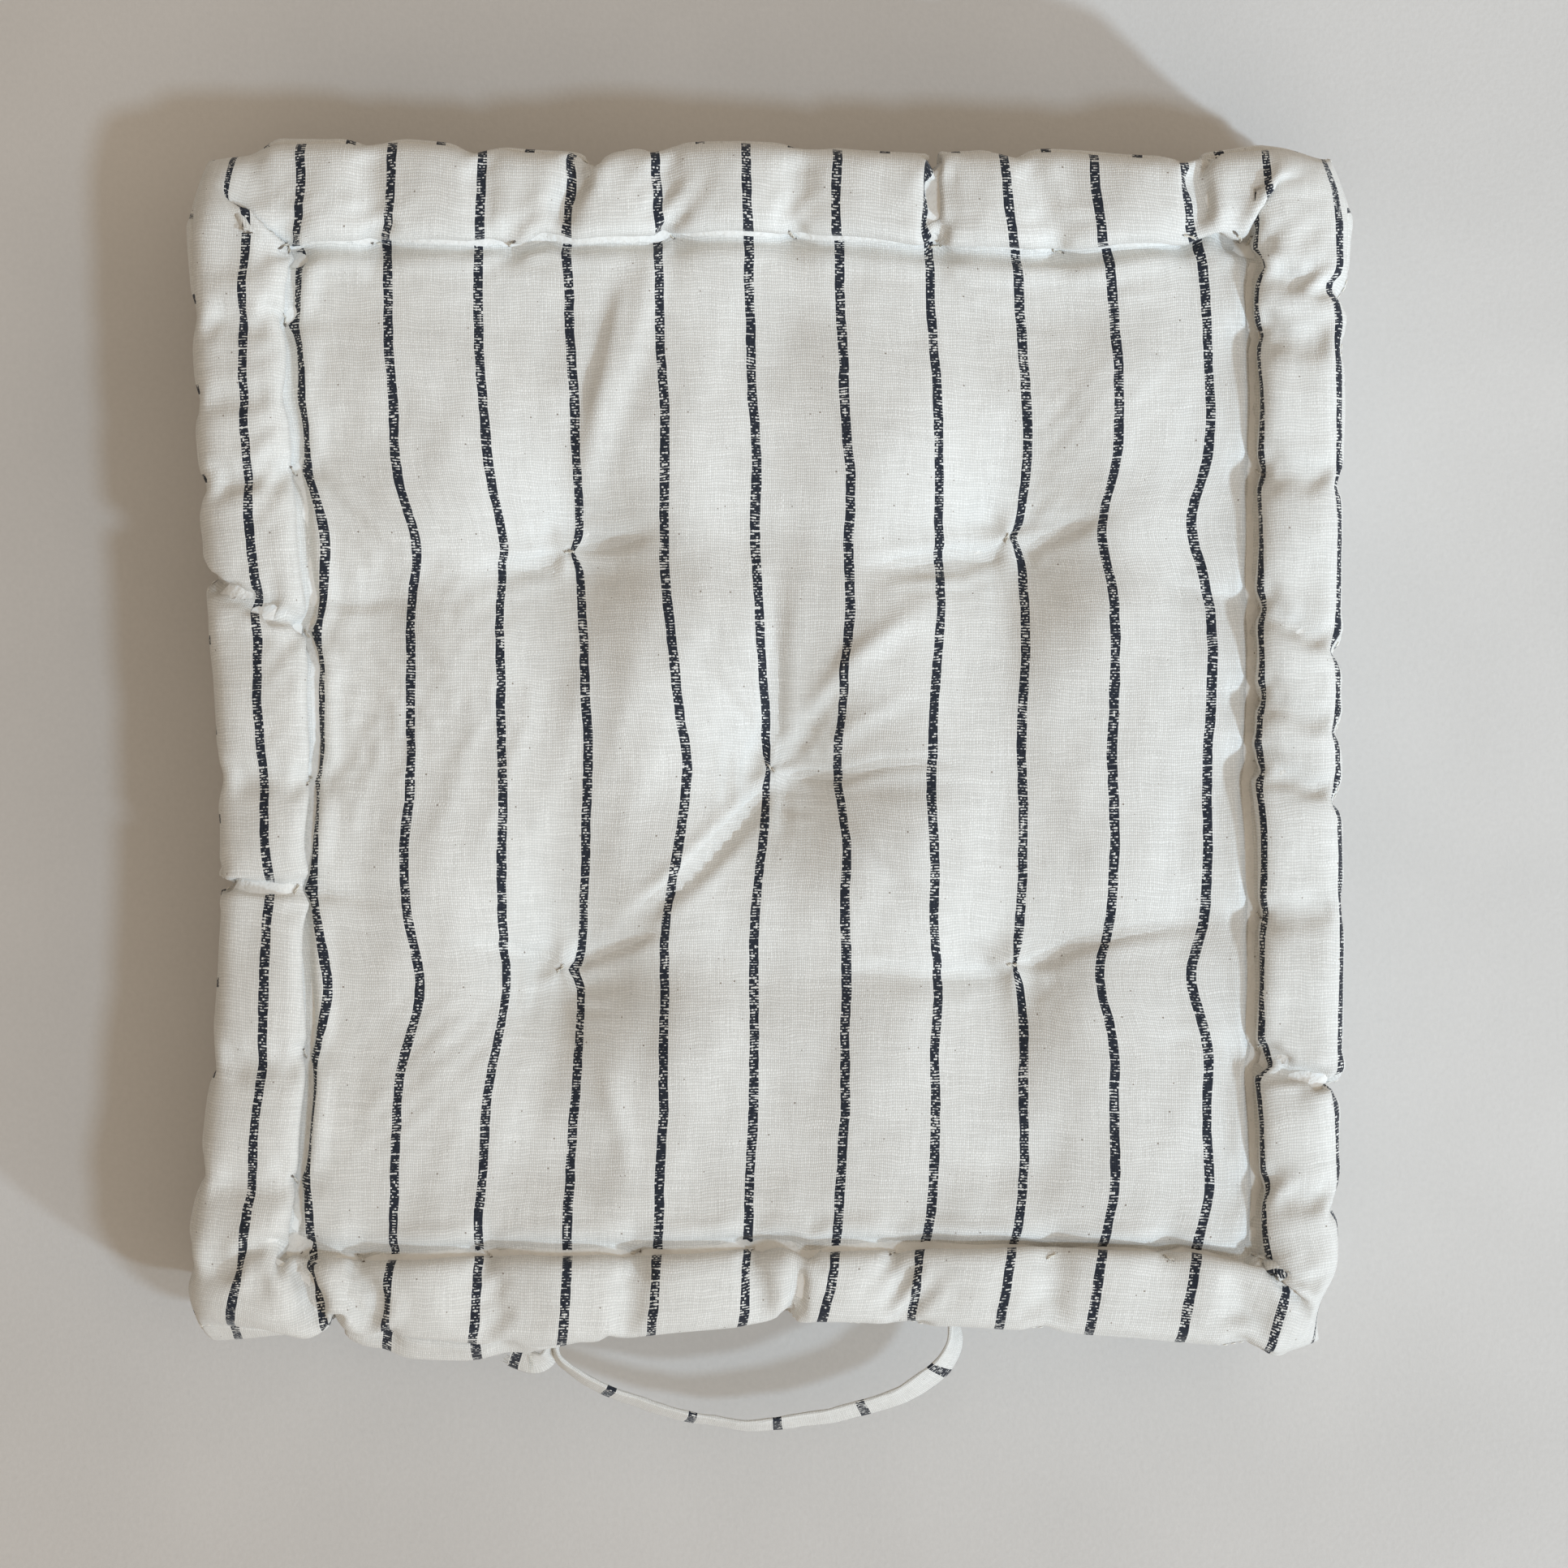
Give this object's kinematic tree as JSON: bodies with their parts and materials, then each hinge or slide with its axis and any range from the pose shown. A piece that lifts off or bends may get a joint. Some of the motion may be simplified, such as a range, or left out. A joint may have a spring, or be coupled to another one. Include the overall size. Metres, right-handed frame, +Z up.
{
  "type": "floor cushion",
  "caption": "Square mattress-style floor cushion in striped cotton, with stitched rolled edges, twine tufts and a cloth handle on its front border.",
  "frame": {"origin": "on the surface the cushion lies on, under the middle of its outline with the handle counted in", "axes": "+Z up, out of the tufted face; +X to the right across the stripes; -Y is the front, where the handle is"},
  "size_m": [0.494, 0.555, 0.1],
  "materials": {
    "ticking": "unbleached cotton canvas with narrow broken navy stripes",
    "wadding": "raw cotton wadding",
    "twine": "natural waxed cotton twine",
    "thread": "cream sewing thread"
  },
  "bodies": {
    "cushion": {"top_panel": "ticking", "bottom_panel": "ticking", "border_strip_front": "ticking", "border_strip_right": "ticking", "border_strip_back": "ticking", "border_strip_left": "ticking", "handle_tab_left": "ticking", "handle_tab_right": "ticking", "wadding_core": "wadding", "top_perimeter_seam": "thread", "bottom_perimeter_seam": "thread", "corner_seam_1": "thread", "corner_seam_2": "thread", "corner_seam_3": "thread", "corner_seam_4": "thread", "handle_tack_left": "thread", "handle_tack_right": "thread", "top_edge_twine_front": "twine", "top_edge_twine_right": "twine", "top_edge_twine_back": "twine", "top_edge_twine_left": "twine", "under_edge_twine_front": "twine", "under_edge_twine_right": "twine", "under_edge_twine_back": "twine", "under_edge_twine_left": "twine", "tuft_twine_middle": "twine", "tuft_twine_back_left": "twine", "tuft_twine_back_right": "twine", "tuft_twine_front_left": "twine", "tuft_twine_front_right": "twine"},
    "handle": {"handle_loop": "ticking"}
  },
  "joints": [
    {"name": "handle_swing", "type": "hinge", "parent": "cushion", "child": "handle", "pos_m": [-0.006, -0.22849, 0.05], "axis": [-1, 0, 0], "range_deg": [-33, 57]}
  ]
}
